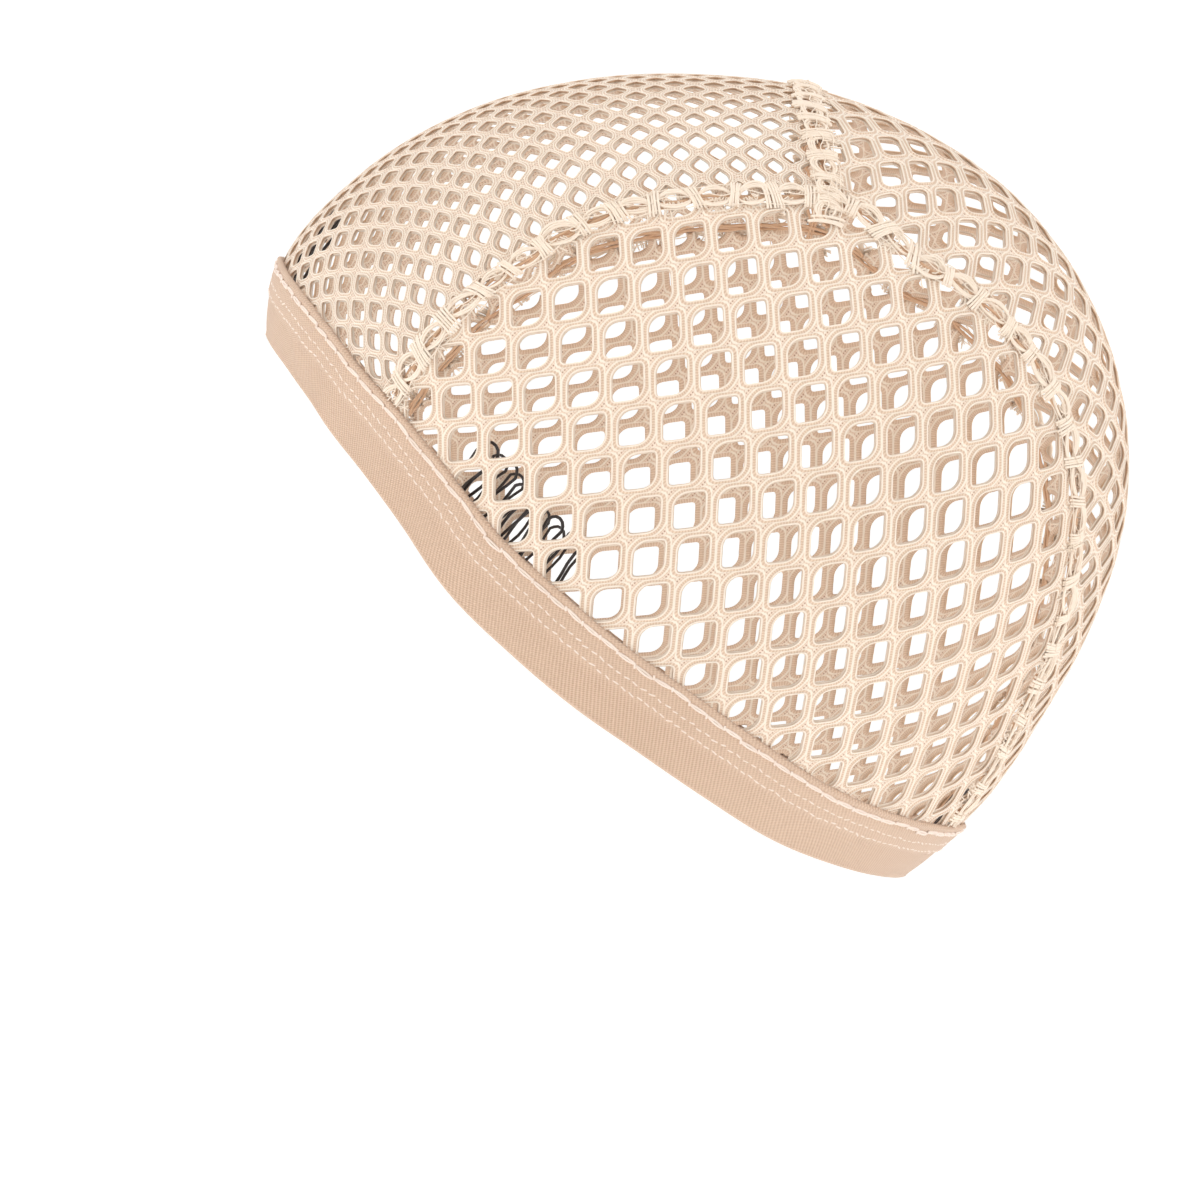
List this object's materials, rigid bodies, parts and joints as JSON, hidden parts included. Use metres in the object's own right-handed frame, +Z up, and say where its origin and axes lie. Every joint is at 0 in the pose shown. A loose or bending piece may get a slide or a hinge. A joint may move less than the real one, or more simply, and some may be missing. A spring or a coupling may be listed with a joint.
{
  "type": "wig cap",
  "caption": "Mesh wig cap in its worn form: coarse elastic net panels sewn together, a plain elastic band round the rim, and wire combs inside.",
  "frame": {"origin": "centre of the slanted opening that the head goes into", "axes": "+Z up, -Y towards the forehead, +Y towards the back of the head, +X towards the wearer's left ear"},
  "size_m": [0.152, 0.1895, 0.1754],
  "materials": {
    "net_elastic": "matte knitted elastic net, pale cream with pinkish ladder bands",
    "band_elastic": "matte fine-ribbed skin-beige elastic, doubled and stitched at its top",
    "seam_cloth": "bunched pale cream net loops sewn with thin whitish thread",
    "comb_wire": "glossy near-black lacquered wire"
  },
  "bodies": {
    "root": {"band": "band_elastic", "net_left": "net_elastic", "net_right": "net_elastic", "net_front": "net_elastic", "net_back": "net_elastic", "seam_left": "seam_cloth", "seam_right": "seam_cloth", "crown_seam": "seam_cloth", "comb_front": "comb_wire", "comb_left": "comb_wire", "comb_right": "comb_wire", "comb_nape": "comb_wire"}
  },
  "joints": []
}
